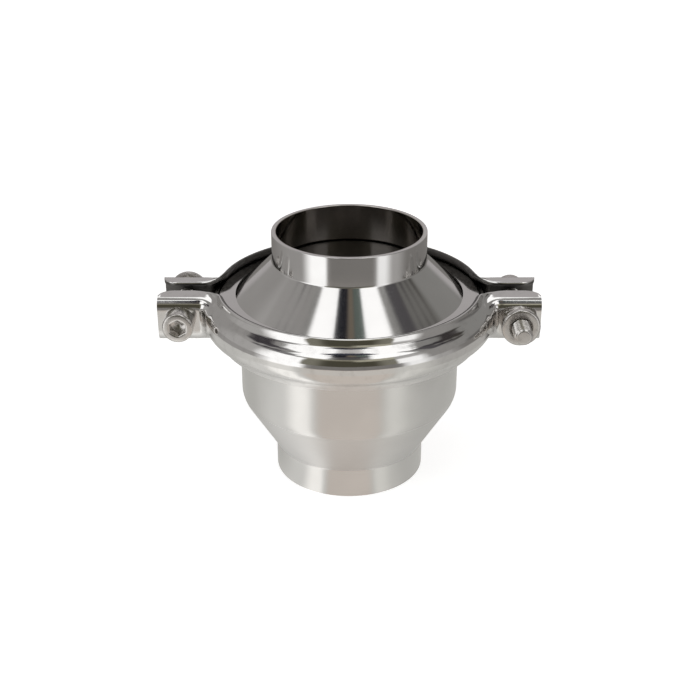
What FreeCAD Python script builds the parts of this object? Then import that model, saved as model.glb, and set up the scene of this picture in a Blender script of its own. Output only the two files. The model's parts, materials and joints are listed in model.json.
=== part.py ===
import FreeCAD, Part
import math
import os

# Spring-loaded non-return valve for welded hygienic tube, all lengths in millimetres.
# The flow enters through the short body at the top and leaves at the bottom.
# The origin is the middle of the bottom end face, +Z runs up along the flow axis.

# Edges that are only broken, and the overshoot of a cut past the solid
edge_break = 0.2
overshoot = 1.0

# Weld tube ends
tube_radius = 25.4
tube_wall = 1.5
outlet_tube_length = 9.9
inlet_tube_length = 9.8
tube_root_round = 0.8

# Long body
barrel_radius = 36.75
barrel_wall = 2.5
barrel_length = 24.4
outlet_cone_height = 18.8
outlet_cone_wall = 2.5
barrel_cone_bend = 7.0
guide_ledge_width = 1.4
guide_ledge_drop = 2.2
throat_round = 1.0

# Short body
inlet_cone_height = 12.5
inlet_cone_ledge = 1.33
inlet_cone_wall = 3.0
seat_root_round = 2.0

# Flanges, the same on both bodies
flange_radius = 45.6
flange_height = 5.3
flange_rim_height = 3.6
flange_back_radius = 43.0
flange_root_bend = 1.5
flange_rim_round = 0.5
flange_back_round = 0.3

# Seal between the flanges
seal_width = 4.2
seal_half_height = 1.4
seal_side_clearance = 0.1
seal_edge_round = 0.3

# Pressed clamp
sheet = 1.5
web_clearance = 1.5
flank_clearance = 0.3
lip_clearance = 0.4
lip_length = 2.7
lip_lean = 22.0
lip_edge_round = 0.6
web_bend = 4.0
lip_bend = 0.5
parting_gap = 6.2

# Box-shaped lugs of the clamp
lug_overhang = 7.1
lug_face = 11.1
lug_half_height = 7.1
lug_draft = 0.6
lug_bend = 3.0
lug_corner_round = 4.8
lug_root_round = 4.0

# Clamp screws and nuts
screw_radius = 3.0
screw_length = 35.0
screw_stand_off = 6.8
screw_hole_clearance = 0.3
screw_end_chamfer = 0.7
screw_head_radius = 5.0
screw_head_height = 6.0
screw_head_round = 0.7
socket_across = 5.0
socket_depth = 3.0
nut_across = 10.0
nut_hex_height = 3.6
collar_radius = 6.3
collar_height = 2.2
collar_round = 0.6
collar_back_round = 0.3
nut_mouth_radius = 3.6
thread_clearance = 0.05

# Plug, its O-ring and its stem
plug_radius = 28.6
plug_rim_height = 3.0
plug_seat_gap = 0.5
plug_nose_drop = 0.2
plug_back_drop = 2.6
plug_hub_radius = 6.9
plug_hub_length = 8.5
plug_edge_round = 0.8
plug_back_round = 0.5
ring_section_radius = 1.4
ring_seat_radius = 26.8
ring_seat_gap = 0.15
ring_groove_clearance = 0.1
stem_radius = 4.0
stem_spigot_radius = 3.0
stem_spigot_length = 7.0
spigot_end_gap = 0.5
stem_overrun = 2.5
stem_end_chamfer = 0.8
plug_travel = 12.0
plug_stop_gap = 0.3

# Guide in the long body
guide_rim_width = 2.8
guide_rim_height = 3.0
guide_fit = 0.1
guide_arms = 4
guide_arm_width = 3.0
guide_arm_height = 4.0
guide_arm_round = 0.6
guide_edge_round = 0.5
guide_hub_radius = 6.9
guide_hub_drop = 3.5
bush_wall = 1.5
bush_flange_width = 1.2
bush_flange_height = 1.0
bush_fit = 0.05
spring_disc_height = 1.5
spring_disc_lift = 0.5

# Spring
wire_radius = 0.7
spring_radius = 8.6
spring_turns = 5.6
spring_seat_margin = 1.3


# Heights worked out from the sizes above
outlet_cone_top = outlet_tube_length + outlet_cone_height
flange_bottom = outlet_cone_top + barrel_length
parting = flange_bottom + flange_height
flange_top = parting + flange_height
inlet_cone_top = flange_top + inlet_cone_height
overall_height = inlet_cone_top + inlet_tube_length
tube_bore = tube_radius - tube_wall
chamber_radius = barrel_radius - barrel_wall

# Cone of the seat, inside the short body and parallel to its outside
inlet_cone_base_radius = flange_back_radius - inlet_cone_ledge
inlet_cone_run = inlet_cone_base_radius - tube_radius
inlet_cone_slant = math.hypot(inlet_cone_run, inlet_cone_height)
seat_fall = inlet_cone_height / inlet_cone_run
seat_normal_r = inlet_cone_height / inlet_cone_slant
seat_normal_z = inlet_cone_run / inlet_cone_slant


def seat_height(radius, offset=0.0):
    """Height of the seat cone at a radius, or of a cone that lies offset inside it."""
    outside = inlet_cone_top - (radius - tube_radius) * seat_fall
    return outside - (inlet_cone_wall + offset) / seat_normal_z


# Ledge of the guide, on the inside of the long body
outlet_cone_run = barrel_radius - tube_radius
outlet_cone_rise = outlet_cone_height / outlet_cone_run
outlet_cone_slant = math.hypot(outlet_cone_run, outlet_cone_height)


def outlet_cone_inside(radius):
    """Height of the inside of the lower cone at a radius."""
    lift = outlet_cone_wall * outlet_cone_slant / outlet_cone_run
    return outlet_tube_length + lift + (radius - tube_radius) * outlet_cone_rise


ledge_radius = chamber_radius - guide_ledge_width
ledge_height = outlet_cone_top + guide_ledge_drop
guide_top = ledge_height + guide_arm_height
spring_foot = guide_top + spring_disc_lift

# Plug, closed
plug_rim_top = seat_height(plug_radius, plug_seat_gap)
plug_rim_bottom = plug_rim_top - plug_rim_height
spring_head = plug_rim_bottom - plug_back_drop
plug_hub_bottom = spring_head - plug_hub_length
plug_nose = seat_height(tube_bore) - plug_nose_drop
guide_hub_top = plug_hub_bottom - plug_travel - plug_stop_gap
guide_hub_bottom = ledge_height - guide_hub_drop
bush_radius = stem_radius + bush_fit + bush_wall
spring_disc_radius = spring_radius + wire_radius + spring_seat_margin

# Clamp section, heights measured from the parting plane
flank_run = flange_radius - flange_back_radius
flank_rise = flange_height - flange_rim_height
flank_slant = math.hypot(flank_run, flank_rise)
flank_slope = flank_rise / flank_run
web_inner = flange_radius + web_clearance
web_outer = web_inner + sheet


def flank_height(radius, offset):
    """Height above the parting plane of a line parallel to the flange's back."""
    lift = offset * flank_slant / flank_run
    return flange_rim_height + lift - (radius - flange_radius) * flank_slope


web_corner_inner = flank_height(web_inner, flank_clearance)
web_corner_outer = flank_height(web_outer, flank_clearance + sheet)

# Ends of the two skins of the clamp's lip, which leans over the flange's back
flank_turn = math.atan2(flank_run, flank_rise)
lip_turn = math.radians(lip_lean)
foot_turn = (flank_turn + lip_turn) / 2
foot_skew = sheet / math.cos((flank_turn - lip_turn) / 2)
foot_inner_radius = flange_back_radius + lip_clearance
foot_inner_height = flank_height(foot_inner_radius, flank_clearance)
foot_outer_radius = foot_inner_radius + foot_skew * math.cos(foot_turn)
foot_outer_height = foot_inner_height + foot_skew * math.sin(foot_turn)
lip_outer_radius = foot_outer_radius - lip_length * math.sin(lip_turn)
lip_outer_height = foot_outer_height + lip_length * math.cos(lip_turn)
lip_inner_radius = lip_outer_radius - sheet * math.cos(lip_turn)
lip_inner_height = lip_outer_height - sheet * math.sin(lip_turn)
lug_rim = parting_gap / 2
screw_place = web_outer + screw_stand_off
lug_end = screw_place + lug_overhang


def outline(corners, plane="XZ"):
    """Closed face from corners (a, b, radius), each rounded by its own radius."""
    def place(a, b):
        if plane == "XZ":
            return FreeCAD.Vector(a, 0, b)
        if plane == "XY":
            return FreeCAD.Vector(a, b, 0)
        return FreeCAD.Vector(0, a, b)

    count = len(corners)
    spans = []
    for index in range(count):
        before = corners[index - 1]
        here = corners[index]
        after = corners[(index + 1) % count]
        radius = here[2] if len(here) > 2 else 0.0
        point = (here[0], here[1])
        if radius <= 0.0:
            spans.append((point, None, point))
            continue
        back = (before[0] - here[0], before[1] - here[1])
        ahead = (after[0] - here[0], after[1] - here[1])
        back_length = math.hypot(*back)
        ahead_length = math.hypot(*ahead)
        back = (back[0] / back_length, back[1] / back_length)
        ahead = (ahead[0] / ahead_length, ahead[1] / ahead_length)
        half = math.acos(max(-1.0, min(1.0, back[0] * ahead[0] + back[1] * ahead[1]))) / 2
        reach = radius / math.tan(half)
        bisector = (back[0] + ahead[0], back[1] + ahead[1])
        bisector_length = math.hypot(*bisector)
        middle = radius / math.sin(half) - radius
        start = (here[0] + back[0] * reach, here[1] + back[1] * reach)
        end = (here[0] + ahead[0] * reach, here[1] + ahead[1] * reach)
        crown = (here[0] + bisector[0] / bisector_length * middle,
                 here[1] + bisector[1] / bisector_length * middle)
        spans.append((start, crown, end))
    edges = []
    for index in range(count):
        start, crown, end = spans[index]
        following = spans[(index + 1) % count][0]
        if crown is not None:
            edges.append(Part.Arc(place(*start), place(*crown), place(*end)).toShape())
        if math.hypot(following[0] - end[0], following[1] - end[1]) > 0.0001:
            edges.append(Part.LineSegment(place(*end), place(*following)).toShape())
    return Part.Face(Part.Wire(edges))


def turned(corners, angle=360.0):
    """Solid of revolution about Z from corners (radius, height, rounding)."""
    return outline(corners).revolve(FreeCAD.Vector(0, 0, 0), FreeCAD.Vector(0, 0, 1), angle)


def block(x0, x1, y0, y1, z0, z1):
    return Part.makeBox(x1 - x0, y1 - y0, z1 - z0, FreeCAD.Vector(x0, y0, z0))


def hexagon(across, height, base, direction):
    """Hexagonal prism, its middle at base."""
    circle = across / math.sqrt(3.0)
    points = []
    for index in range(6):
        angle = math.radians(60.0 * index + 30.0)
        points.append(FreeCAD.Vector(circle * math.cos(angle), 0, circle * math.sin(angle)))
    points.append(points[0])
    prism = Part.Face(Part.makePolygon(points)).extrude(direction * height)
    prism.translate(base)
    return prism


def inlet_body():
    return turned([
        (tube_bore, overall_height, edge_break),
        (tube_radius, overall_height, edge_break),
        (tube_radius, inlet_cone_top, tube_root_round),
        (inlet_cone_base_radius, flange_top, flange_back_round),
        (flange_back_radius, flange_top, flange_back_round),
        (flange_radius, parting + flange_rim_height, flange_rim_round),
        (flange_radius, parting, edge_break),
        (chamber_radius + seal_width, parting),
        (chamber_radius + seal_width, parting + seal_half_height),
        (chamber_radius, parting + seal_half_height),
        (chamber_radius, seat_height(chamber_radius), seat_root_round),
        (tube_bore, seat_height(tube_bore), throat_round),
    ])


def outlet_body():
    return turned([
        (tube_bore, 0.0, edge_break),
        (tube_radius, 0.0, edge_break),
        (tube_radius, outlet_tube_length, tube_root_round),
        (barrel_radius, outlet_cone_top, barrel_cone_bend),
        (barrel_radius, flange_bottom, flange_root_bend),
        (flange_back_radius, flange_bottom, flange_back_round),
        (flange_radius, parting - flange_rim_height, flange_rim_round),
        (flange_radius, parting, edge_break),
        (chamber_radius + seal_width, parting),
        (chamber_radius + seal_width, parting - seal_half_height),
        (chamber_radius, parting - seal_half_height),
        (chamber_radius, ledge_height),
        (ledge_radius, ledge_height),
        (ledge_radius, outlet_cone_inside(ledge_radius), throat_round),
        (tube_bore, outlet_cone_inside(tube_bore), throat_round),
    ])


def body_seal():
    inner = chamber_radius + seal_side_clearance
    outer = chamber_radius + seal_width - seal_side_clearance
    return turned([
        (inner, parting - seal_half_height, seal_edge_round),
        (outer, parting - seal_half_height, seal_edge_round),
        (outer, parting + seal_half_height, seal_edge_round),
        (inner, parting + seal_half_height, seal_edge_round),
    ])


def seal_ring_centre():
    offset = ring_section_radius + ring_seat_gap
    return (ring_seat_radius - offset * seat_normal_r,
            seat_height(ring_seat_radius) - offset * seat_normal_z)


def plug_seal():
    radius, height = seal_ring_centre()
    return Part.makeTorus(radius, ring_section_radius, FreeCAD.Vector(0, 0, height),
                          FreeCAD.Vector(0, 0, 1))


def valve_plug():
    spigot = stem_spigot_radius + thread_clearance
    spigot_end = plug_hub_bottom + stem_spigot_length + spigot_end_gap
    nose_radius = tube_radius + (inlet_cone_top - plug_nose
                                 - (inlet_cone_wall + plug_seat_gap) / seat_normal_z) / seat_fall
    body = turned([
        (0.0, plug_nose),
        (nose_radius, plug_nose, plug_edge_round),
        (plug_radius, plug_rim_top, plug_edge_round),
        (plug_radius, plug_rim_bottom, plug_edge_round),
        (spring_disc_radius, spring_head, plug_back_round),
        (plug_hub_radius, spring_head),
        (plug_hub_radius, plug_hub_bottom, plug_back_round),
        (spigot, plug_hub_bottom),
        (spigot, spigot_end),
        (0.0, spigot_end),
    ])
    radius, height = seal_ring_centre()
    groove = Part.makeTorus(radius, ring_section_radius + ring_groove_clearance,
                            FreeCAD.Vector(0, 0, height), FreeCAD.Vector(0, 0, 1))
    return body.cut(groove)


def plug_stem():
    bottom = guide_hub_bottom - stem_overrun
    return turned([
        (0.0, bottom),
        (stem_radius - stem_end_chamfer, bottom),
        (stem_radius, bottom + stem_end_chamfer),
        (stem_radius, plug_hub_bottom),
        (stem_spigot_radius, plug_hub_bottom),
        (stem_spigot_radius, plug_hub_bottom + stem_spigot_length),
        (0.0, plug_hub_bottom + stem_spigot_length),
    ])


def closing_spring():
    pitch = (spring_head - spring_foot) / (spring_turns - 1.0)
    height = pitch * spring_turns
    start = spring_foot - pitch / 2
    helix = Part.makeHelix(pitch, height, spring_radius)
    section = Part.Wire(Part.makeCircle(wire_radius, FreeCAD.Vector(spring_radius, 0, 0),
                                        FreeCAD.Vector(0, 1, 0)))
    coil = Part.Wire(helix.Edges).makePipeShell([section], True, True)
    coil.translate(FreeCAD.Vector(0, 0, start))
    reach = spring_radius + 2 * wire_radius
    return coil.common(block(-reach, reach, -reach, reach, spring_foot, spring_head))


def guide_spider():
    outer = chamber_radius - guide_fit
    inner = outer - guide_rim_width
    spider = turned([
        (inner, ledge_height, guide_edge_round),
        (outer, ledge_height),
        (outer, ledge_height + guide_rim_height),
        (inner, ledge_height + guide_rim_height, guide_edge_round),
    ])
    hub = turned([
        (bush_radius, guide_hub_bottom),
        (guide_hub_radius, guide_hub_bottom, guide_edge_round),
        (guide_hub_radius, spring_foot - spring_disc_height, guide_edge_round),
        (spring_disc_radius, spring_foot - spring_disc_height),
        (spring_disc_radius, spring_foot, edge_break),
        (guide_hub_radius, spring_foot),
        (guide_hub_radius, guide_hub_top, edge_break),
        (bush_radius + bush_flange_width, guide_hub_top),
        (bush_radius + bush_flange_width, guide_hub_top - bush_flange_height),
        (bush_radius, guide_hub_top - bush_flange_height),
    ])
    arm_start = (bush_radius + guide_hub_radius) / 2
    arm_end = inner + guide_rim_width / 2
    half = guide_arm_width / 2
    arm = outline([
        (-half, ledge_height, guide_arm_round),
        (half, ledge_height, guide_arm_round),
        (half, ledge_height + guide_arm_height, guide_arm_round),
        (-half, ledge_height + guide_arm_height, guide_arm_round),
    ], "YZ").extrude(FreeCAD.Vector(arm_end - arm_start, 0, 0))
    arm.translate(FreeCAD.Vector(arm_start, 0, 0))
    pieces = [hub]
    for index in range(guide_arms):
        turned_arm = arm.copy()
        turned_arm.rotate(FreeCAD.Vector(0, 0, 0), FreeCAD.Vector(0, 0, 1),
                          360.0 / guide_arms * (index + 0.5))
        pieces.append(turned_arm)
    return spider.multiFuse(pieces).removeSplitter()


def guide_bush():
    return turned([
        (stem_radius + bush_fit, guide_hub_bottom, edge_break),
        (bush_radius, guide_hub_bottom),
        (bush_radius, guide_hub_top - bush_flange_height),
        (bush_radius + bush_flange_width, guide_hub_top - bush_flange_height),
        (bush_radius + bush_flange_width, guide_hub_top),
        (stem_radius + bush_fit, guide_hub_top, edge_break),
    ])


def both_sides(upper):
    """Section from the corners of its upper half, heights measured from the parting plane."""
    lower = [(radius, parting - height, rounding) for radius, height, rounding in upper[::-1]]
    return lower + [(radius, parting + height, rounding) for radius, height, rounding in upper]


def ring_filled():
    """Solid inside the outer skin of the clamp's ring, closed to the axis."""
    return turned(both_sides([
        (web_outer, web_corner_outer, web_bend + sheet),
        (foot_outer_radius, foot_outer_height, lip_bend),
        (lip_outer_radius, lip_outer_height, lip_edge_round),
        (lip_inner_radius, lip_inner_height, 0.0),
        (0.0, lip_inner_height, 0.0),
    ]))


def ring_hollow():
    """Cut for the inside of the ring, which flares past the ends of the lips."""
    flare = sheet + overshoot
    mouth_radius = lip_inner_radius + flare * math.cos(lip_turn)
    mouth_height = lip_inner_height + flare * math.sin(lip_turn)
    return turned(both_sides([
        (web_inner, web_corner_inner, web_bend),
        (foot_inner_radius, foot_inner_height, lip_bend + sheet),
        (lip_inner_radius, lip_inner_height, lip_edge_round),
        (mouth_radius, mouth_height, 0.0),
        (0.0, mouth_height, 0.0),
    ]))


def lug_root(inset):
    """Corner and end of the arc, seen from above, that joins a lug's face to the ring."""
    web = web_outer - inset
    face = lug_face - inset
    radius = lug_root_round + inset
    centre_y = face + radius
    centre_distance = web + radius
    centre_x = math.sqrt(centre_distance ** 2 - centre_y ** 2)
    reach = radius * math.tan(math.acos(centre_y / centre_distance) / 2)
    share = web / centre_distance
    return (centre_x - reach, -face, radius), (centre_x * share, -centre_y * share)


def lug_filled(inset, side):
    """Solid inside one skin of a lug of the front half; the lug is open at its end."""
    face = lug_face - inset
    end = lug_end if inset == 0 else lug_end + sheet
    rim = lug_rim if inset == 0 else 0.0
    corner = lug_corner_round if inset == 0 else 0.0
    root, root_end = lug_root(inset)
    plan = outline([
        (end, -face),
        root,
        root_end,
        (barrel_radius, root_end[1]),
        (barrel_radius, -rim),
        (end, -rim, corner),
    ], "XY")
    upright = plan.extrude(FreeCAD.Vector(0, 0, 4 * lug_half_height))
    upright.translate(FreeCAD.Vector(0, 0, parting - 2 * lug_half_height))
    bend = lug_bend - inset
    front = lug_half_height - inset
    back = front + lug_draft / (lug_face - lug_rim) * face
    section = outline([
        (-face, parting - front, bend),
        (0.0, parting - back),
        (0.0, parting + back),
        (-face, parting + front, bend),
    ], "YZ").extrude(FreeCAD.Vector(2 * lug_end, 0, 0))
    lug = upright.common(section)
    if side < 0:
        lug = lug.mirror(FreeCAD.Vector(0, 0, 0), FreeCAD.Vector(1, 0, 0))
    return lug


def clamp_half():
    """Front half of the clamp: one pressed sheet, as the space between two skins."""
    reach = 2 * lug_end
    keep = block(-reach, reach, -reach, -lug_rim, -reach, reach + overall_height)
    outer = ring_filled().fuse([lug_filled(0.0, 1), lug_filled(0.0, -1)]).removeSplitter()
    inner = ring_hollow().fuse([lug_filled(sheet, 1), lug_filled(sheet, -1)]).removeSplitter()
    shell = outer.common(keep).cut(inner)
    hole = screw_radius + screw_hole_clearance
    for side in (-1, 1):
        drill = Part.makeCylinder(hole, 2 * sheet, FreeCAD.Vector(side * screw_place,
                                  -lug_face - sheet / 2, parting), FreeCAD.Vector(0, 1, 0))
        shell = shell.cut(drill)
    return shell


def screw():
    """Socket cap screw along +Y, its head on the front lug."""
    seat = -lug_face
    shank = [
        (0.0, -screw_head_height),
        (screw_head_radius, -screw_head_height, screw_head_round),
        (screw_head_radius, 0.0, edge_break),
        (screw_radius, 0.0),
        (screw_radius, screw_length - screw_end_chamfer),
        (screw_radius - screw_end_chamfer, screw_length),
        (0.0, screw_length),
    ]
    solid = turned(shank)
    solid.rotate(FreeCAD.Vector(0, 0, 0), FreeCAD.Vector(1, 0, 0), -90)
    solid.translate(FreeCAD.Vector(0, seat, 0))
    front = FreeCAD.Vector(0, seat - screw_head_height, 0)
    socket = hexagon(socket_across, socket_depth, front, FreeCAD.Vector(0, 1, 0))
    return solid.cut(socket)


def nut():
    """Nut at the end of a screw along +Y, hexagon on the rear lug, collar outward."""
    seat = lug_face
    bore = screw_radius + thread_clearance
    total = nut_hex_height + collar_height
    body = hexagon(nut_across, nut_hex_height, FreeCAD.Vector(0, seat, 0),
                   FreeCAD.Vector(0, 1, 0))
    collar = turned([
        (0.0, nut_hex_height),
        (collar_radius, nut_hex_height, collar_back_round),
        (collar_radius, total, collar_round),
        (0.0, total),
    ])
    hole = turned([
        (0.0, -overshoot),
        (bore, -overshoot),
        (bore, total + bore - nut_mouth_radius),
        (nut_mouth_radius, total),
        (nut_mouth_radius, total + overshoot),
        (0.0, total + overshoot),
    ])
    for piece in (collar, hole):
        piece.rotate(FreeCAD.Vector(0, 0, 0), FreeCAD.Vector(1, 0, 0), -90)
        piece.translate(FreeCAD.Vector(0, seat, 0))
    return body.fuse(collar).cut(hole).removeSplitter()


def placed(shape, side):
    """Screw or nut on the left, or on the right with the screw put in from behind."""
    piece = shape.copy()
    piece.translate(FreeCAD.Vector(-screw_place, 0, parting))
    if side > 0:
        piece.rotate(FreeCAD.Vector(0, 0, 0), FreeCAD.Vector(0, 0, 1), 180)
    return piece


def build():
    front = clamp_half()
    rear = front.copy()
    rear.rotate(FreeCAD.Vector(0, 0, 0), FreeCAD.Vector(0, 0, 1), 180)
    screw_shape = screw()
    nut_shape = nut()
    return {
        "inlet_body": inlet_body(),
        "outlet_body": outlet_body(),
        "body_seal": body_seal(),
        "valve_plug": valve_plug(),
        "plug_seal": plug_seal(),
        "plug_stem": plug_stem(),
        "closing_spring": closing_spring(),
        "guide_spider": guide_spider(),
        "guide_bush": guide_bush(),
        "clamp_front_half": front,
        "clamp_rear_half": rear,
        "left_bolt": placed(screw_shape, -1),
        "right_bolt": placed(screw_shape, 1),
        "left_nut": placed(nut_shape, -1),
        "right_nut": placed(nut_shape, 1),
    }


def main():
    os.makedirs("parts", exist_ok=True)
    for name, shape in build().items():
        box = shape.BoundBox
        print(name, shape.isValid(), len(shape.Solids), round(shape.Volume, 1),
              [round(value, 2) for value in (box.XMin, box.XMax, box.YMin, box.YMax,
                                             box.ZMin, box.ZMax)])
        shape.exportStep("parts/" + name + ".step")


main()
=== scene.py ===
import bpy
import json
import math
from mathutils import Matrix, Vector


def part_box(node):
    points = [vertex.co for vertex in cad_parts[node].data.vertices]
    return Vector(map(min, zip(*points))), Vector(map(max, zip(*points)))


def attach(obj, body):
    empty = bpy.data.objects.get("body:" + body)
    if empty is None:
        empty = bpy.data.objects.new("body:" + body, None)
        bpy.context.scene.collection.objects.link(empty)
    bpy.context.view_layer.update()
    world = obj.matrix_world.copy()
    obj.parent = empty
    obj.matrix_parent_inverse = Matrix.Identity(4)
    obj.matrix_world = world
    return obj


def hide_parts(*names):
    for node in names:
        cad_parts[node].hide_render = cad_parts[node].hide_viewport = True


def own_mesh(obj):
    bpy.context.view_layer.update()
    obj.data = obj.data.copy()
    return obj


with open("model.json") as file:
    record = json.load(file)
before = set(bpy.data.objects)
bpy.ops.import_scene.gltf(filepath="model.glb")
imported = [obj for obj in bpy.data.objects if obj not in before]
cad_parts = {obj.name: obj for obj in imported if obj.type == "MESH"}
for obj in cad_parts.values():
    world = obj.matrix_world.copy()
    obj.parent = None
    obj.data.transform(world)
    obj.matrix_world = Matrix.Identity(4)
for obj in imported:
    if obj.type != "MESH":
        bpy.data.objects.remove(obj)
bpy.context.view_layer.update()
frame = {"nodes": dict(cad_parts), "record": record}
print("frame loaded:", len(frame["nodes"]), "nodes")

mm = 0.001
reliefUnit = 0.001 * mm                            # heights of bumps, thousandths of a millimetre
pi = math.pi
toDegrees = 180 / pi
seamAngle = 32.0                                   # degrees between faces; more is a sharp edge
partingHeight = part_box("inlet_body")[0].z          # plane between the two bodies
nodes = frame["nodes"]


# One output of a shader node. Sums on wires add maths nodes to the same tree.
class Wire:
    def __init__(self, tree, socket=None):
        self.tree = tree
        self.socket = socket

    def node(self, kind, settings=None, sockets=None, output=0):
        # settings are set first, then each socket gets a value or a link
        made = self.tree.nodes.new(kind)
        for name, value in (settings or {}).items():
            setattr(made, name, value)
        for name, value in (sockets or {}).items():
            target = made.inputs[name]
            if isinstance(value, Wire):
                self.tree.links.new(value.socket, target)
            elif target.type == "RGBA":
                target.default_value = tuple(value) + (1.0,)
            else:
                target.default_value = value
        return Wire(self.tree, made.outputs[output])

    def maths(self, operation, first, second=0.0):
        return self.node("ShaderNodeMath", {"operation": operation}, {0: first, 1: second})

    def parts(self):
        # the three numbers of a vector
        made = self.node("ShaderNodeSeparateXYZ", {}, {0: self}).socket.node
        return [Wire(self.tree, socket) for socket in made.outputs]

    def ramp(self, low, high):
        # 0 below low and 1 above high, smooth in between
        return self.node("ShaderNodeMapRange", {"interpolation_type": "SMOOTHSTEP"},
                         {"Value": self, "From Min": low, "From Max": high})

    def within(self, low, lowSoft, high, highSoft):
        # 1 from low to high, each edge with its own softness to both sides
        rise = self.ramp(low - lowSoft, low + lowSoft)
        return rise * (1.0 - self.ramp(high - highSoft, high + highSoft))

    def mix(self, first, second):
        # colour first at 0 and second at 1
        return self.node("ShaderNodeMix", {"data_type": "RGBA"}, {0: self, 6: first, 7: second}, 2)

    def noise(self, scale, detail, roughness=0.5):
        # even noise over this place, from 0 to 1 round 0.5
        return self.node("ShaderNodeTexNoise", {}, {
            "Vector": self, "Scale": scale, "Detail": detail, "Roughness": roughness})

    def swing(self):
        # noise moved to lie round 0
        return self - 0.5

    def surface(self, kind):
        # the tree's end
        target = self.tree.nodes.new(kind).inputs["Surface"]
        self.tree.links.new(self.socket, target)

    def __add__(self, other):
        return self.maths("ADD", self, other)

    def __radd__(self, other):
        return self.maths("ADD", other, self)

    def __sub__(self, other):
        return self.maths("SUBTRACT", self, other)

    def __rsub__(self, other):
        return self.maths("SUBTRACT", other, self)

    def __mul__(self, other):
        return self.maths("MULTIPLY", self, other)

    def __rmul__(self, other):
        return self.maths("MULTIPLY", other, self)

    def __pow__(self, other):
        return self.maths("POWER", self, other)

    def __neg__(self):
        return self.maths("MULTIPLY", self, -1.0)


def addObject(name, data):
    item = bpy.data.objects.new(name, data)
    bpy.context.scene.collection.objects.link(item)
    return item


def addMesh(name, points, faces):
    mesh = bpy.data.meshes.new(name)
    mesh.from_pydata(points, [], faces)
    return addObject(name, mesh)


# Camera: the photograph's place, tilt in degrees, and lens.
camera = {
    "place": (0.21 * mm, -366.2 * mm, 221.55 * mm),
    "tilt": 26.057,
    "lens": 61.58, "sensor": 36.0,
    "nearest": 10 * mm,
}


def makeCamera():
    data = bpy.data.cameras.new("camera")
    data.lens = camera["lens"]
    data.sensor_width = camera["sensor"]
    data.clip_start = camera["nearest"]
    eye = addObject("camera", data)
    eye.location = camera["place"]
    eye.rotation_euler = (math.radians(90.0 - camera["tilt"]), 0, 0)
    bpy.context.scene.camera = eye


makeCamera()
bpy.context.scene.view_settings.view_transform = "Standard"
print("camera made")


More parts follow.
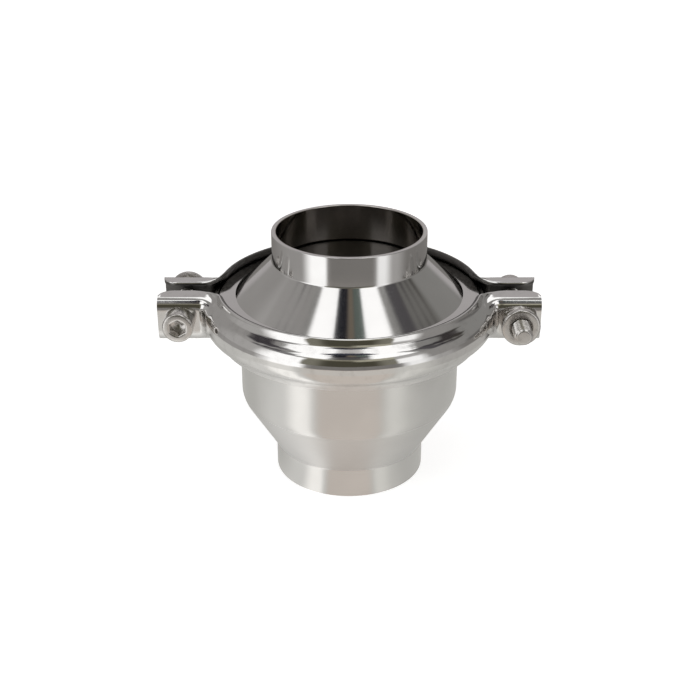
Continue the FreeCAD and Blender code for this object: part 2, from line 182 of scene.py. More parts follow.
# Studio: what bright steel mirrors. Azimuth 0 is the viewer's side, positive to the right.
# A patch is (azimuth from, softness, to, softness, height from, to, softness, colour),
# in degrees, and a later patch lies over an earlier one.
studio = {
    "backdrop": (1.0, 1.0, 1.0),                   # what the camera itself sees
    "walls": (0.28, 0.275, 0.265),
    "patches": [
        # behind and beside
        (-195, 1, -70, 4, -20, 62, 3, (0.34, 0.33, 0.32)),
        (-114, 8, -80, 4, 30, 60, 4, (0.37, 0.36, 0.35)),
        (70, 4, 195, 1, -20, 62, 3, (0.27, 0.265, 0.255)),
        (96, 6, 142, 6, -20, 8, 4, (0.15, 0.145, 0.14)),
        (-195, 1, -146, 4, -20, 43, 4, (0.46, 0.44, 0.44)),
        (146, 4, 195, 1, -20, 43, 4, (0.46, 0.44, 0.44)),
        (-195, 1, -166, 3, 43, 86, 3, (1.35, 1.35, 1.35)),
        (166, 3, 195, 1, 43, 86, 3, (1.35, 1.35, 1.35)),
        # overhead lamp, and the lamps below its sides
        (-104, 3, 103, 3, 63.5, 91, 2, (1.35, 1.35, 1.35)),
        (-195, 1, 195, 1, 84.5, 91, 1.5, (0.58, 0.56, 0.55)),
        (-61, 3, -20, 3, 43, 66, 2, (1.38, 1.38, 1.38)),
        (20, 3, 63, 3, 43, 66, 2, (1.38, 1.38, 1.38)),
        (72, 3, 88, 2, 59.5, 66, 1.5, (1.36, 1.36, 1.36)),
        # dark gaps beside the lamps
        (-68, 3, -49, 3, 38, 50, 2, (0.24, 0.235, 0.235)),
        (-92, 3, -60, 3, 35, 41, 2, (0.25, 0.245, 0.24)),
        (-80, 2, -66, 2, 43, 51.5, 1.5, (0.12, 0.115, 0.12)),
        (-87, 2, -77, 2, 41, 48.5, 1.5, (0.08, 0.075, 0.08)),
        (-94, 2, -85, 2, 37, 44.5, 1.5, (0.12, 0.115, 0.12)),
        (-120, 3, -98, 2, 46, 59, 2, (0.05, 0.045, 0.05)),
        (-101, 2, -87, 2, 51, 60.5, 1.5, (0.07, 0.065, 0.07)),
        (-89, 2, -79, 2, 55.5, 62.5, 1.5, (0.14, 0.135, 0.14)),
        (84, 3, 114, 3, 32, 54, 3, (0.19, 0.185, 0.175)),
        (74, 3, 89, 3, 32, 58, 2, (0.09, 0.085, 0.09)),
        (87, 2, 95, 2, 30, 44.5, 1.5, (0.045, 0.04, 0.045)),
        (93, 2, 102, 2, 30, 40.5, 1.5, (0.04, 0.035, 0.035)),
        (100, 2, 108, 2, 30, 36.5, 1.5, (0.07, 0.065, 0.06)),
        (88, 2, 100, 2, 49.5, 58, 1.5, (0.07, 0.065, 0.07)),
        (96, 2, 107, 2, 45.5, 54, 1.5, (0.04, 0.035, 0.04)),
        (103, 2, 124, 3, 41.5, 52, 2, (0.045, 0.04, 0.04)),
        (109, 2, 121, 3, 36.5, 44, 2, (0.05, 0.045, 0.04)),
        # side lamps, low
        (-112, 12, -34, 2, -20, 37, 2, (0.45, 0.44, 0.43)),
        (-70, 9, -33, 2, -20, 37, 2, (1.36, 1.36, 1.36)),
        (34, 2, 92, 14, -20, 37, 2, (0.31, 0.30, 0.29)),
        (34, 2, 60, 7, 24, 41, 3, (0.50, 0.49, 0.48)),
        (34, 2, 58, 6, -20, 26, 4, (1.20, 1.20, 1.20)),
        # the viewer's side
        (-36, 2, 36, 2, -20, 37, 2, (0.22, 0.21, 0.17)),
        (-22, 6, 23, 6, -20, 37, 2, (0.075, 0.07, 0.05)),
        (-37, 2, 37, 2, 36.5, 43, 1.5, (0.31, 0.29, 0.22)),
        (4, 4, 37, 2, 31, 43, 1.5, (0.45, 0.43, 0.34)),
        (-13, 5, 13, 5, 43, 58, 2, (0.10, 0.095, 0.09)),
        (-18, 4, 23, 5, 56, 67, 2, (0.07, 0.065, 0.07)),
        (-25, 2, 25, 2, 64.5, 85, 1.5, (0.06, 0.06, 0.075)),
        (-47, 5, 47, 5, 71, 84, 1.5, (0.05, 0.05, 0.065)),
        (-26, 2, -3, 4, 63, 74, 2, (0.015, 0.015, 0.02)),
        (-3, 4, 9, 3, 63, 74, 2, (0.18, 0.15, 0.115)),
        (9, 3, 27, 2, 63, 74, 2, (0.115, 0.14, 0.125)),
    ],
}


def makeWorld():
    world = bpy.data.worlds.new("studio")
    world.use_nodes = True
    bpy.context.scene.world = world
    world.node_tree.nodes.clear()
    start = Wire(world.node_tree)
    x, y, z = start.node("ShaderNodeTexCoord").parts()      # the direction looked in
    azimuth = start.maths("ARCTAN2", x, -y) * toDegrees
    height = start.maths("ARCSINE", z) * toDegrees
    colour = studio["walls"]
    for left, leftSoft, right, rightSoft, low, high, soft, tint in studio["patches"]:
        across = azimuth.within(left, leftSoft, right, rightSoft)
        colour = (across * height.within(low, soft, high, soft)).mix(colour, tint)
    seen = start.node("ShaderNodeLightPath", {}, {}, "Is Camera Ray")
    light = start.node("ShaderNodeBackground", {}, {"Color": seen.mix(colour, studio["backdrop"])})
    light.surface("ShaderNodeOutputWorld")


makeWorld()


# Floor: pale to the eye, and what upright steel mirrors, which has a near and a far part.
# Distances are from the valve's axis, in millimetres. A band is (azimuth from, softness, to,
# softness, colour) round a point before the axis, which steps by an amount between distances.
floor = {
    "size": 6.0,                                   # metres
    "paint": (0.80, 0.80, 0.80), "glow": 0.70,
    "middle": 12.7, "middleSteps": [(5.7, 42, 56), (-5.7, 176, 190)],
    "farFrom": 185.0, "farTo": 205.0,
    "near": (0.53, 0.525, 0.50),
    "nearBands": [
        (-40, 14, 38, 14, (0.67, 0.61, 0.555)),
        (-98, 22, -35, 5, (0.76, 0.755, 0.73)),
        (-63, 9, -41, 4, (1.20, 1.185, 1.145)),
        (34, 6, 70, 16, (0.66, 0.655, 0.62)),
        (39, 5, 56, 9, (0.80, 0.79, 0.75)),
    ],
    "dimFrom": 143.0, "dimTo": 178.0, "dimSoft": 6.0,
    "dimColour": (0.66, 0.65, 0.62), "dimShare": 0.55,
    "sideFrom": 112.0, "sideTo": 126.0,
    "sideBands": [
        (-190, 1, -84, 16, (0.61, 0.605, 0.58)),
        (-190, 1, -124, 8, (0.24, 0.23, 0.22)),
        (64, 14, 190, 1, (0.47, 0.46, 0.44)),
        (124, 6, 190, 1, (0.06, 0.055, 0.05)),
    ],
    "far": (0.22, 0.21, 0.20),
    "farBands": [
        (-125, 30, -30, 6, (0.36, 0.35, 0.34)),
        (-64, 10, -33, 3, (1.38, 1.38, 1.38)),
        (38, 6, 82, 12, (0.44, 0.43, 0.42)),
        (41, 4, 59, 8, (1.10, 1.10, 1.10)),
    ],
}


def makeFloor():
    start = newMaterial("pale floor")
    x, y = placeInMillimetres(start).parts()[:2]
    distance = (x * x + y * y) ** 0.5
    middle = floor["middle"]
    for amount, low, high in floor["middleSteps"]:
        middle = amount * distance.ramp(low, high) + middle
    azimuth = start.maths("ARCTAN2", x, -y - middle) * toDegrees
    shades = []
    for part in ("near", "far"):
        colour = floor[part]
        for left, leftSoft, right, rightSoft, tint in floor[part + "Bands"]:
            colour = azimuth.within(left, leftSoft, right, rightSoft).mix(colour, tint)
        shades.append(colour)
    dim = distance.within(floor["dimFrom"], floor["dimSoft"], floor["dimTo"], floor["dimSoft"])
    near = (dim * floor["dimShare"]).mix(shades[0], floor["dimColour"])
    side = distance.ramp(floor["sideFrom"], floor["sideTo"])
    for left, leftSoft, right, rightSoft, tint in floor["sideBands"]:
        near = (azimuth.within(left, leftSoft, right, rightSoft) * side).mix(near, tint)
    mirrored = distance.ramp(floor["farFrom"], floor["farTo"]).mix(near, shades[1])
    paint = start.node("ShaderNodeBsdfDiffuse", {}, {"Color": floor["paint"]})
    glow = start.node("ShaderNodeEmission", {}, {"Strength": floor["glow"]})
    toEye = start.node("ShaderNodeAddShader", {}, {0: paint, 1: glow})
    toSteel = start.node("ShaderNodeEmission", {}, {"Color": mirrored})
    glossy = start.node("ShaderNodeLightPath", {}, {}, "Is Glossy Ray")
    both = start.node("ShaderNodeMixShader", {}, {0: glossy, 1: toEye, 2: toSteel})
    both.surface("ShaderNodeOutputMaterial")
    half = floor["size"] / 2
    corners = [(-half, -half, 0), (half, -half, 0), (half, half, 0), (-half, half, 0)]
    piece = addMesh("floor", corners, [(0, 1, 2, 3)])
    piece.data.materials.append(materialOf(start))


# Materials. Lengths in a material are in millimetres.
materialOfTree = {}


def newMaterial(name):
    material = bpy.data.materials.new(name)
    material.use_nodes = True
    material.node_tree.nodes.clear()
    materialOfTree[material.node_tree] = material
    return Wire(material.node_tree)


def materialOf(wire):
    return materialOfTree[wire.tree]


def placeInMillimetres(start):
    place = start.node("ShaderNodeTexCoord", {}, {}, "Object")
    return start.node("ShaderNodeVectorMath", {"operation": "SCALE"}, {0: place, "Scale": 1000.0})


def finishMaterial(start, metal, colour, rough, relief):
    bump = start.node("ShaderNodeBump", {}, {"Distance": reliefUnit, "Height": relief})
    skin = start.node("ShaderNodeBsdfPrincipled", {}, {
        "Metallic": metal, "Base Color": colour, "Roughness": rough, "Normal": bump})
    skin.surface("ShaderNodeOutputMaterial")
    return materialOf(start)


# Wear that the finishes share. Noise is (scale, detail, roughness); a span is where a stain
# or a rubbed spot sets in and where it is full.
wear = {
    "stain": (0.06, 3.0, 0.5), "stainSpan": (0.3, 0.7),
    "spots": (0.35, 4.0, 0.5), "spotSpan": (0.45, 0.75),
    "turnedGrain": (1.7, 4.0, 0.5), "pressedGrain": (2.4, 5.0, 0.65),
    "skin": (3.0, 4.0, 0.5), "skinRough": 0.1,
}


def dulled(rough, place, look):
    # duller between two heights, each with its own softness
    for low, lowSoft, high, highSoft, more in look.get("dullHeights", []):
        rough = rough + place.parts()[2].within(low, lowSoft, high, highSoft) * more
    return rough


def makeTurned(name, look):
    # cutter lines run round the axis; worn speckle and soft stains lie over them
    start = newMaterial(name)
    place = placeInMillimetres(start)
    x, y, z = place.parts()
    radius = (x * x + y * y) ** 0.5
    along = start.node("ShaderNodeCombineXYZ", {}, {0: radius, 1: z})
    lines = along.noise(look["lineScale"], detail=3.0, roughness=0.7)
    broad = along.noise(look["broadScale"], detail=1.0)
    stain = place.noise(*wear["stain"]).ramp(*wear["stainSpan"])
    grain = place.noise(*wear["turnedGrain"])
    colour = stain.mix(look["darkColour"], look["colour"])
    if "boreRadius" in look:
        # 1 on the bore, 0 outside it; the bore gets a darker, warmer colour, which is painted
        # shade inside the tube
        bore = radius.ramp(look["boreRadius"] + look["boreSoft"], look["boreRadius"])
        colour = bore.mix(colour, look["boreShadeColour"])
    rough = look["roughness"] + lines.swing() * look["lineRough"]
    rough = rough + grain.swing() * look["grainRough"]
    relief = lines * look["lineDepth"] + broad * look["broadDepth"]
    return finishMaterial(start, 1.0, colour, dulled(rough, place, look), relief)


def makePressed(name, look):
    # bright pressed sheet: long soft waves in the mirror, fine scratches and rubbed spots
    start = newMaterial(name)
    place = placeInMillimetres(start)
    waves = place.noise(look["waveScale"], detail=2.0)
    grain = place.noise(*wear["pressedGrain"])
    spots = place.noise(*wear["spots"]).ramp(*wear["spotSpan"])
    colour = spots.mix(look["colour"], look["darkColour"])
    rough = look["roughness"] + spots * look["spotRough"] + grain.swing() * look["grainRough"]
    relief = waves * look["waveDepth"] + grain * look["grainDepth"]
    return finishMaterial(start, 1.0, colour, dulled(rough, place, look), relief)


def makeSoft(name, look):
    # rubber or plastic: a moulded skin with faint mottling
    start = newMaterial(name)
    skin = placeInMillimetres(start).noise(*wear["skin"])
    colour = skin.mix(look["darkColour"], look["colour"])
    rough = look["roughness"] + skin.swing() * wear["skinRough"]
    return finishMaterial(start, 0.0, colour, rough, skin * look["depth"])


finishes = {
    "turned_steel": makeTurned("bright turned steel", {
        "colour": (0.73, 0.72, 0.71), "darkColour": (0.69, 0.68, 0.67), "roughness": 0.09,
        "lineScale": 3.0, "broadScale": 0.5, "lineRough": 0.08, "grainRough": 0.04,
        "lineDepth": 1.0, "broadDepth": 3.0,
        # the bore's colour is painted shade inside the tube
        "boreRadius": 24.1, "boreSoft": 0.3, "boreShadeColour": (0.62, 0.59, 0.56)}),
    "barrel_steel": makeTurned("satin turned steel", {
        "colour": (0.74, 0.73, 0.72), "darkColour": (0.70, 0.69, 0.68), "roughness": 0.20,
        "lineScale": 2.5, "broadScale": 0.4, "lineRough": 0.12, "grainRough": 0.05,
        "lineDepth": 4.0, "broadDepth": 6.0, "dullHeights": [(10.3, 0.3, 28.3, 0.6, 0.34)]}),
    # the plug is steel; its near-black colour is painted shade for the deep tube it sits in
    "plug_steel": makeTurned("plug steel in painted shade", {
        "colour": (0.042, 0.037, 0.032), "darkColour": (0.028, 0.025, 0.022), "roughness": 0.34,
        "lineScale": 2.0, "broadScale": 0.4, "lineRough": 0.14, "grainRough": 0.06,
        "lineDepth": 3.0, "broadDepth": 4.0}),
    "pressed_steel": makePressed("mirror pressed steel", {
        "colour": (0.74, 0.73, 0.72), "darkColour": (0.68, 0.67, 0.66), "roughness": 0.07,
        "spotRough": 0.06, "grainRough": 0.05, "waveScale": 0.16, "waveDepth": 40.0,
        "grainDepth": 0.6, "dullHeights": [(40.0, 0.5, 54.6, 0.5, 0.28)]}),
    "screw_steel": makePressed("worn screw steel", {
        "colour": (0.62, 0.60, 0.58), "darkColour": (0.52, 0.50, 0.48), "roughness": 0.24,
        "spotRough": 0.10, "grainRough": 0.10, "waveScale": 0.3, "waveDepth": 3.0,
        "grainDepth": 1.0}),
    # the sheet's inside: its dark colour is painted shade in the crevices
    "inner_skin": makePressed("pressed steel inside in painted shade", {
        "colour": (0.15, 0.145, 0.14), "darkColour": (0.10, 0.095, 0.09), "roughness": 0.36,
        "spotRough": 0.10, "grainRough": 0.08, "waveScale": 0.16, "waveDepth": 10.0,
        "grainDepth": 1.0}),
    "spring_steel": makePressed("drawn wire steel", {
        "colour": (0.60, 0.60, 0.60), "darkColour": (0.50, 0.50, 0.50), "roughness": 0.22,
        "spotRough": 0.10, "grainRough": 0.08, "waveScale": 0.3, "waveDepth": 4.0,
        "grainDepth": 2.0}),
    "seal_rubber": makeSoft("black seal rubber", {
        "colour": (0.035, 0.035, 0.035), "darkColour": (0.020, 0.020, 0.020),
        "roughness": 0.55, "depth": 6.0}),
    "bush_plastic": makeSoft("white bush plastic", {
        "colour": (0.84, 0.83, 0.79), "darkColour": (0.78, 0.77, 0.72),
        "roughness": 0.42, "depth": 4.0}),
}

for row in frame["record"]["subparts"]:
    mesh = nodes[row["node"]].data
    mesh.materials.clear()
    mesh.materials.append(finishes[row["material_slot"]])
makeFloor()
print("studio and materials made")


# Mesh tools
def addPiece(name, points, faces, body, slotName, stands, sharp=seamAngle):
    piece = addMesh(name, points, faces)
    piece.data.validate()
    piece.data.materials.append(finishes[slotName])
    softenShade(piece, sharp)
    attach(piece, body)
    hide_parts(*stands)
    return piece


def softenShade(piece, sharp):
    piece.data.shade_smooth()
    piece.data.set_sharp_from_angle(angle=math.radians(sharp))


def gridFaces(rows, columns, closeRows=False, closeColumns=False):
    # quads between neighbouring points of a grid that is stored row by row
    faces = []
    for row in range(rows if closeRows else rows - 1):
        for column in range(columns if closeColumns else columns - 1):
            after = (row + 1) % rows * columns
            beside = (column + 1) % columns
            faces.append((row * columns + column, row * columns + beside,
                          after + beside, after + column))
    return faces


def tubeFaces(rings, around):
    # a tube of closed rings with a flat face at both ends
    count = rings * around
    return gridFaces(rings, around, closeColumns=True) + [
        tuple(range(around))[::-1], tuple(range(count - around, count))]


def applyModifiers(piece):
    view = bpy.context.evaluated_depsgraph_get()
    mesh = bpy.data.meshes.new_from_object(piece.evaluated_get(view))
    piece.modifiers.clear()
    piece.data = mesh


def share(value):
    return min(max(value, 0.0), 1.0)


def smooth(value):
    t = share(value)
    return t * t * (3 - 2 * t)


def bendPull(turn):
    # how far a round bend's two inner curve points lie on the way to its corner
    return 4 / 3 * math.tan(turn / 4) / math.tan(turn / 2) if turn > 0.001 else 2 / 3


def curvePoint(start, first, second, end, t):
    # the curve leaves its start towards the first point and comes to its end from the second
    return (start * (1 - t) ** 3 + first * 3 * t * (1 - t) ** 2
            + second * 3 * t * t * (1 - t) + end * t ** 3)


def bentPath(corners, samples):
    # points along a path of (a, b, reach) corners; each inner corner is a bend that
    # starts and ends at its reach from the corner; samples are for run, bend, run ...
    ends = []
    for index, (a, b, reach) in enumerate(corners):
        here = Vector((a, b))
        if index in (0, len(corners) - 1):
            ends.append((here, here, here))
            continue
        back = (Vector(corners[index - 1][:2]) - here).normalized()
        ahead = (Vector(corners[index + 1][:2]) - here).normalized()
        ends.append((here + back * reach, here, here + ahead * reach))
    path = [ends[0][2]]
    count = iter(samples)
    for index in range(1, len(corners)):
        start = path[-1]
        into, corner, out = ends[index]
        run = next(count)
        path += [start.lerp(into, step / run) for step in range(1, run + 1)]
        if index == len(corners) - 1:
            break
        bend = next(count)
        pull = bendPull((corner - into).angle(out - corner, 0.0))
        first = into.lerp(corner, pull)
        second = out.lerp(corner, pull)
        path += [curvePoint(into, first, second, out, step / bend) for step in range(1, bend + 1)]
    return path


def offsetCorners(corners, distance, least=0.05):
    # the same path moved sideways, towards the left of its direction; no bend's reach
    # gets smaller than the least
    moved = []
    points = [Vector(corner[:2]) for corner in corners]
    for index, point in enumerate(points):
        sides = []
        if index > 0:
            way = (point - points[index - 1]).normalized()
            sides.append(Vector((-way.y, way.x)))
        if index < len(points) - 1:
            way = (points[index + 1] - point).normalized()
            sides.append(Vector((-way.y, way.x)))
        middle = sum(sides, Vector((0, 0))).normalized()
        reach = distance / middle.dot(sides[0])
        turn = sides[0].angle(sides[-1], 0.0)
        side = 1 if sides[0].cross(sides[-1]) > 0 else -1
        bend = max(corners[index][2] - side * distance * math.tan(turn / 2), least)
        moved.append((*(point + middle * reach), bend))
    return moved


def roundedLoop(corners, steps, support):
    # closed outline of (a, b, radius) corners; a straight run gets points near its ends,
    # so that its shading stays flat
    loop = []
    for index, (a, b, radius) in enumerate(corners):
        here = Vector((a, b))
        back = (Vector(corners[index - 1][:2]) - here).normalized()
        ahead = (Vector(corners[(index + 1) % len(corners)][:2]) - here).normalized()
        turn = pi - back.angle(ahead)
        reach = radius * math.tan(turn / 2)
        loop.append(here + back * (reach + support))
        if radius:
            inner = 1 - bendPull(turn)
            curve = (here + back * reach, here + back * reach * inner,
                     here + ahead * reach * inner, here + ahead * reach)
            loop += [curvePoint(*curve, step / steps) for step in range(steps + 1)]
        else:
            loop.append(here)
        loop.append(here + ahead * (reach + support))
    return loop


# Short body, turned: the cone stands on a narrow ledge inside the clamp's lips.
# Corners are (radius, height from the parting plane, rounding), in millimetres.
shortBody = {
    "corners": [
        (23.9, 27.6, 0.2), (25.4, 27.6, 0.2), (25.4, 17.8, 0.8), (37.7, 6.1, 0.25),
        (43.0, 5.3, 0.3), (45.6, 3.6, 0.5), (45.6, 0.0, 0.2), (38.45, 0.0, 0.0),
        (38.45, 1.4, 0.0), (34.25, 1.4, 0.0), (34.25, 7.22, 2.0), (23.9, 15.17, 1.0)],
    "cornerSteps": 7, "support": 0.12, "around": 200,
}


def makeShortBody():
    around = shortBody["around"]
    points = []
    outline = roundedLoop(shortBody["corners"], shortBody["cornerSteps"], shortBody["support"])
    for radius, height in outline:
        for step in range(around):
            turn = 2 * pi * step / around
            points.append((radius * math.sin(turn) * mm, -radius * math.cos(turn) * mm,
                           partingHeight + height * mm))
    faces = gridFaces(len(outline), around, closeRows=True, closeColumns=True)
    addPiece("short_body_shell", points, faces, "valve_body", "turned_steel", ["inlet_body"])


makeShortBody()
print("short body made")


# Clamp: two halves of pressed sheet, all lengths in millimetres, heights from the parting plane.
# Ring corners are (radius, height, reach of the bend), from the lip's end to the web. The
# sheet's inside is darker with painted shade, apart from some rows of faces after its lower
# and at its upper edge.
clamp = {
    "sheet": 1.5,
    "ring": [(43.71, 8.33, 0), (43.94, 7.51, 0.6), (44.61, 6.40, 0.3), (48.6, 3.79, 2.97)],
    "lugFace": 11.1, "lugHeight": 7.1, "lugBend": 3.0,
    "lugRim": 3.1, "lugBack": 7.7, "lugFolds": (4.6, 5.8), "foldReach": 0.3,
    "lugEnd": 62.5, "lugCorner": 4.8,
    "rootRound": 2.2, "rootSpread": 1.2,
    "riseBefore": 7.0, "riseAfter": 3.0,            # from the ring's heights to the lug's
    "screwPlace": 55.4, "holeRadius": 3.3, "holeSteps": 40,
    "edgeRound": 0.6, "edgeSteps": 6,
    "brightLower": 4, "brightUpper": 2,
    "samples": (3, 3, 2, 3, 5, 8, 8, 8, 5, 3, 2, 3, 3),      # steps of each run and bend
    "lugSteps": 22, "rootSteps": 30, "ringSteps": 80,
}


def clampLoops():
    # the sheet's edge-on outline on the ring (radius, height) and on the lug (distance, height)
    rim = clamp["lugRim"] + clamp["edgeRound"]
    slope = (clamp["lugBack"] - clamp["lugHeight"]) / (clamp["lugFace"] - clamp["lugRim"])
    lug = [(place, clamp["lugHeight"] + slope * (clamp["lugFace"] - place), reach)
           for place, reach in zip((rim, *clamp["lugFolds"]),
                                   (0, clamp["foldReach"], clamp["foldReach"]))]
    lug.append((clamp["lugFace"], clamp["lugHeight"], clamp["lugBend"]))
    loops = []
    for upper in (clamp["ring"], lug):
        outer = upper + [(a, -b, reach) for a, b, reach in reversed(upper)]
        inner = offsetCorners(outer, -clamp["sheet"])
        outside = bentPath(outer, clamp["samples"])
        inside = bentPath(inner, clamp["samples"])
        loops.append(outside + roundEdge(outside, inside) + inside[::-1]
                     + roundEdge(inside[::-1], outside[::-1]))
    return loops


def roundEdge(first, second):
    # the rounded edge of the sheet between the ends of its two faces
    start, end = first[-1], second[-1]
    out = (start - first[-2]).normalized() * clamp["edgeRound"]
    middle = (start + end) / 2
    side = (start - end) / 2
    steps = clamp["edgeSteps"]
    return [middle + side * math.cos(pi * step / steps) + out * math.sin(pi * step / steps)
            for step in range(1, steps)]


def clampRow(ringPoint, lugPoint):
    # one line of the sheet from the free end of the left lug to the middle of the ring;
    # a row's third number is the way along the sheet from the middle of the root
    radius, ringHeight = ringPoint
    face, lugHeight = lugPoint
    webRadius = clamp["ring"][-1][0]
    root = clamp["rootRound"] + clamp["rootSpread"] * (
        (webRadius - radius) + (clamp["lugFace"] - face)) / 2
    centreY = -(face + root)
    centreX = -math.sqrt((radius + root) ** 2 - centreY ** 2)
    reach = math.atan2(-centreX, -centreY)          # azimuth where the ring's arc ends
    rootLength = root * reach
    row = []
    for step in range(clamp["lugSteps"]):
        t = step / clamp["lugSteps"]
        x = -clamp["lugEnd"] + (centreX + clamp["lugEnd"]) * t
        row.append((x, -face, rootLength / 2 + abs(x - centreX)))
    for step in range(clamp["rootSteps"]):
        turn = reach * step / clamp["rootSteps"]
        row.append((centreX + root * math.sin(turn), centreY + root * math.cos(turn),
                    rootLength / 2 - root * turn))
    for step in range(clamp["ringSteps"] + 1):
        angle = reach * (1 - step / clamp["ringSteps"])
        row.append((-radius * math.sin(angle), -radius * math.cos(angle),
                    -rootLength / 2 - radius * (reach - angle)))
    points = []
    for x, y, travel in row:
        rise = smooth((travel + clamp["riseBefore"]) / (clamp["riseBefore"] + clamp["riseAfter"]))
        points.append((x, trimCorner(x, y, face), ringHeight + (lugHeight - ringHeight) * rise))
    return points


def trimCorner(x, y, face):
    # the flange's rounded corner at the free end of the lug
    over = abs(x) - (clamp["lugEnd"] - clamp["lugCorner"])
    bendStart = clamp["lugFace"] - clamp["lugBend"]
    if over <= 0 or face >= bendStart:
        return y
    cut = clamp["lugCorner"] - math.sqrt(max(clamp["lugCorner"] ** 2 - over ** 2, 0.0))
    depth = bendStart - clamp["lugRim"]
    return -bendStart + (bendStart - face) * (depth - cut) / depth


def makeClampHalf(name, body, node, side):
    ringLoop, lugLoop = clampLoops()
    rows = []
    for ringPoint, lugPoint in zip(ringLoop, lugLoop):
        left = clampRow(ringPoint, lugPoint)
        rows.append(left + [(-x, y, z) for x, y, z in left[-2::-1]])
    points = [(side * x * mm, side * y * mm, partingHeight + z * mm)
              for row in rows for x, y, z in row]
    faces = gridFaces(len(rows), len(rows[0]), closeRows=True) + endCaps(len(rows), len(rows[0]))
    piece = addPiece(name, points, faces, body, "pressed_steel", [node])
    # the inside faces take the finish with painted shade
    piece.data.materials.append(finishes["inner_skin"])
    strip = len(rows[0]) - 1                        # faces in one row
    first = (len(rows) // 2 + clamp["brightLower"]) * strip
    last = (len(rows) - clamp["brightUpper"]) * strip
    for face in piece.data.polygons[first:last]:
        face.material_index = 1
    cutHoles(piece, side)


def endCaps(count, length):
    # quads across the sheet's thickness at both free ends
    edge = clamp["edgeSteps"] - 1                   # points on a rounded edge
    path = (count - 2 * edge) // 2                  # points on each face of the sheet
    outside = list(range(path))
    lowerEdge = list(range(path, path + edge))
    inside = list(range(path + edge, 2 * path + edge))[::-1]
    upperEdge = list(range(2 * path + edge, count))
    caps = []
    for end in (0, length - 1):
        at = [index * length + end for index in range(count)]
        for a, b in zip(range(path - 1), range(1, path)):
            caps.append((at[outside[a]], at[inside[a]], at[inside[b]], at[outside[b]]))
        caps.append([at[outside[-1]]] + [at[i] for i in lowerEdge] + [at[inside[-1]]])
        caps.append([at[inside[0]]] + [at[i] for i in upperEdge] + [at[outside[0]]])
    return caps


def cutHoles(piece, side):
    # a round hole through each lug's face for its screw
    around = clamp["holeSteps"]
    middle = clamp["lugFace"] - clamp["sheet"] / 2
    points = []
    for across in (-1, 1):
        for deep in (-clamp["sheet"], clamp["sheet"]):
            for step in range(around):
                turn = 2 * pi * step / around
                out = across * clamp["screwPlace"] + clamp["holeRadius"] * math.cos(turn)
                points.append((out * mm, -side * (middle + deep) * mm,
                               partingHeight + clamp["holeRadius"] * math.sin(turn) * mm))
    faces = [tuple(first + index for index in face)
             for first in (0, 2 * around) for face in tubeFaces(2, around)]
    drills = addMesh("drills", points, faces)
    cutter = piece.modifiers.new("holes", "BOOLEAN")
    cutter.operation = "DIFFERENCE"
    cutter.solver = "EXACT"
    cutter.object = drills
    applyModifiers(piece)
    softenShade(piece, seamAngle)
    bpy.data.objects.remove(drills)


makeClampHalf("front_clamp_sheet", "clamp_front", "clamp_front_half", 1)
makeClampHalf("rear_clamp_sheet", "clamp_rear", "clamp_rear_half", -1)
print("clamp made")


# Screws and nuts: profiles of (distance along the screw from the lug's face, radius,
# corner radius of a hexagon or 0), in millimetres.
screw = {
    "place": clamp["screwPlace"], "seat": clamp["lugFace"],
    "head": [
        (-1.9, 0.02, 0), (-2.6, 1.2, 0), (-3.0, 2.2, 0), (-3.0, 9, 2.88), (-3.1, 9, 2.88),
        (-5.6, 9, 2.88), (-5.75, 9, 2.90), (-6.0, 3.15, 3.3), (-6.0, 3.3, 0), (-6.0, 4.2, 0),
        (-5.95, 4.5, 0), (-5.82, 4.76, 0), (-5.6, 4.93, 0), (-5.3, 5.0, 0), (-5.1, 5.0, 0),
        (-0.2, 5.0, 0), (-0.06, 4.94, 0), (0.0, 4.8, 0), (0.0, 3.1, 0)],
    "threadFrom": 0.1, "threadTo": 34.95, "pitch": 1.0, "threadRadius": 3.0, "threadDepth": 0.56,
    "crest": 0.12, "flank": 0.7,                   # shares of half a pitch
    "tipRadius": 2.3, "tip": [(34.99, 2.2, 0), (35.0, 1.9, 0), (35.0, 0.02, 0)],
    "around": 60, "perPitch": 8, "seamAngle": 40.0,
}
nut = {
    "profile": [
        (0.0, 3.07, 0), (0.0, 3.4, 0), (0.0, 4.75, 0), (0.45, 5.5, 5.77), (0.6, 9, 5.77),
        (3.5, 9, 5.77), (3.6, 9, 5.77), (3.6, 6.0, 0), (3.68, 6.2, 0), (3.9, 6.3, 0),
        (4.1, 6.3, 0), (5.0, 6.3, 0), (5.25, 6.27, 0), (5.5, 6.15, 0), (5.68, 5.95, 0),
        (5.78, 5.7, 0), (5.8, 5.4, 0), (5.8, 4.0, 0), (5.75, 3.75, 0), (5.2, 3.2, 0),
        (5.0, 3.07, 0)],
}


def ringPoints(along, radius, corner, around, side):
    # one ring of points about a screw's line, round or cut to a hexagon with a corner on top
    points = []
    for step in range(around):
        turn = 2 * pi * step / around
        reach = radius(turn) if callable(radius) else radius
        if corner:
            reach = min(reach, corner * math.cos(pi / 6) / math.cos(turn % (pi / 3) - pi / 6))
        points.append((side * (-screw["place"] + reach * math.sin(turn)) * mm,
                       side * along * mm, partingHeight + reach * math.cos(turn) * mm))
    return points


def threadReach(along):
    # radius of the thread at a turn about the screw, faded at the head and cut by the tip
    def reach(turn):
        wave = abs(2 * ((along / screw["pitch"] - turn / (2 * pi)) % 1.0) - 1)
        depth = screw["threadDepth"] * share((wave - screw["crest"]) / screw["flank"])
        depth *= smooth((along - screw["threadFrom"]) / screw["pitch"])
        limit = screw["tipRadius"] + screw["threadTo"] - along
        return min(screw["threadRadius"] - depth, limit)
    return reach


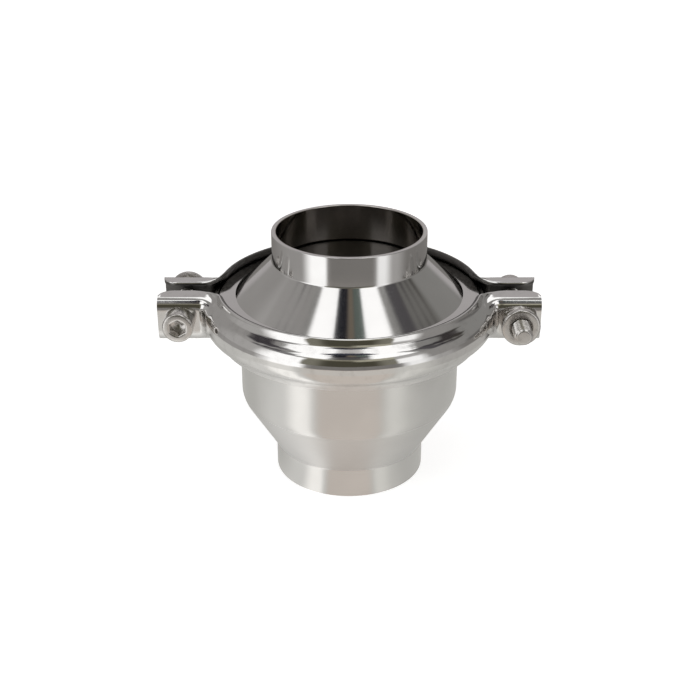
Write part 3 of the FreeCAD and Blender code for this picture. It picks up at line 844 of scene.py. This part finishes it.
def makeScrew(name, body, node, side):
    around = screw["around"]
    count = round((screw["threadTo"] - screw["threadFrom"]) / screw["pitch"] * screw["perPitch"])
    rings = [ringPoints(along - screw["seat"], radius, corner, around, side)
             for along, radius, corner in screw["head"]]
    for step in range(count + 1):
        along = screw["threadFrom"] + (screw["threadTo"] - screw["threadFrom"]) * step / count
        rings.append(ringPoints(along - screw["seat"], threadReach(along), 0, around, side))
    rings += [ringPoints(along - screw["seat"], radius, corner, around, side)
              for along, radius, corner in screw["tip"]]
    points = [point for ring in rings for point in ring]
    faces = tubeFaces(len(rings), around)
    addPiece(name, points, faces, body, "screw_steel", [node], sharp=screw["seamAngle"])


def makeNut(name, body, node, side):
    around = screw["around"]
    rings = [ringPoints(along + screw["seat"], radius, corner, around, side)
             for along, radius, corner in nut["profile"]]
    points = [point for ring in rings for point in ring]
    faces = gridFaces(len(rings), around, closeRows=True, closeColumns=True)
    addPiece(name, points, faces, body, "screw_steel", [node], sharp=screw["seamAngle"])


makeScrew("left_socket_screw", "left_screw", "left_bolt", 1)
makeScrew("right_socket_screw", "right_screw", "right_bolt", -1)
makeNut("left_collar_nut", "clamp_rear", "left_nut", 1)
makeNut("right_collar_nut", "clamp_front", "right_nut", -1)
print("screws and nuts made")


# Closing spring: round wire with closed ends ground flat.
spring = {
    "wireRadius": 0.7, "radius": 8.6, "foot": 35.4, "head": 63.73, "turns": 5.6,
    "endTurns": 0.9, "endPitch": 1.5, "blendTurns": 0.5,
    "perTurn": 56, "around": 14, "shortest": 0.576,
}


def springHeights():
    # heights of the wire's middle line: close turns at both ends, even turns between
    count = round(spring["turns"] * spring["perTurn"])
    slopes = []
    for step in range(count):
        fromEnd = min(step, count - 1 - step) / spring["perTurn"]
        blended = fromEnd - spring["endTurns"] + spring["blendTurns"]
        slopes.append(smooth(blended / spring["blendTurns"]))
    free = spring["head"] - spring["foot"] - spring["wireRadius"]
    close = spring["endPitch"] / spring["perTurn"]
    extra = (free - close * count) / sum(slopes)
    heights = [spring["foot"] + spring["wireRadius"] / 2]
    for slope in slopes:
        heights.append(heights[-1] + close + extra * slope)
    return heights


def makeSpring():
    heights = springHeights()
    around = spring["around"]
    points = []
    for step, height in enumerate(heights):
        turn = 2 * pi * step / spring["perTurn"]
        for index in range(around):
            angle = 2 * pi * index / around
            reach = spring["radius"] + spring["wireRadius"] * math.cos(angle)
            lift = height + spring["wireRadius"] * math.sin(angle)
            lift = min(max(lift, spring["foot"]), spring["head"])
            points.append((reach * math.cos(turn) * mm, reach * math.sin(turn) * mm, lift * mm))
    faces = tubeFaces(len(heights), around)
    piece = addPiece("closing_coil", points, faces, "valve_body", "spring_steel",
                     ["closing_spring"])
    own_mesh(piece)


makeSpring()
print("spring made")
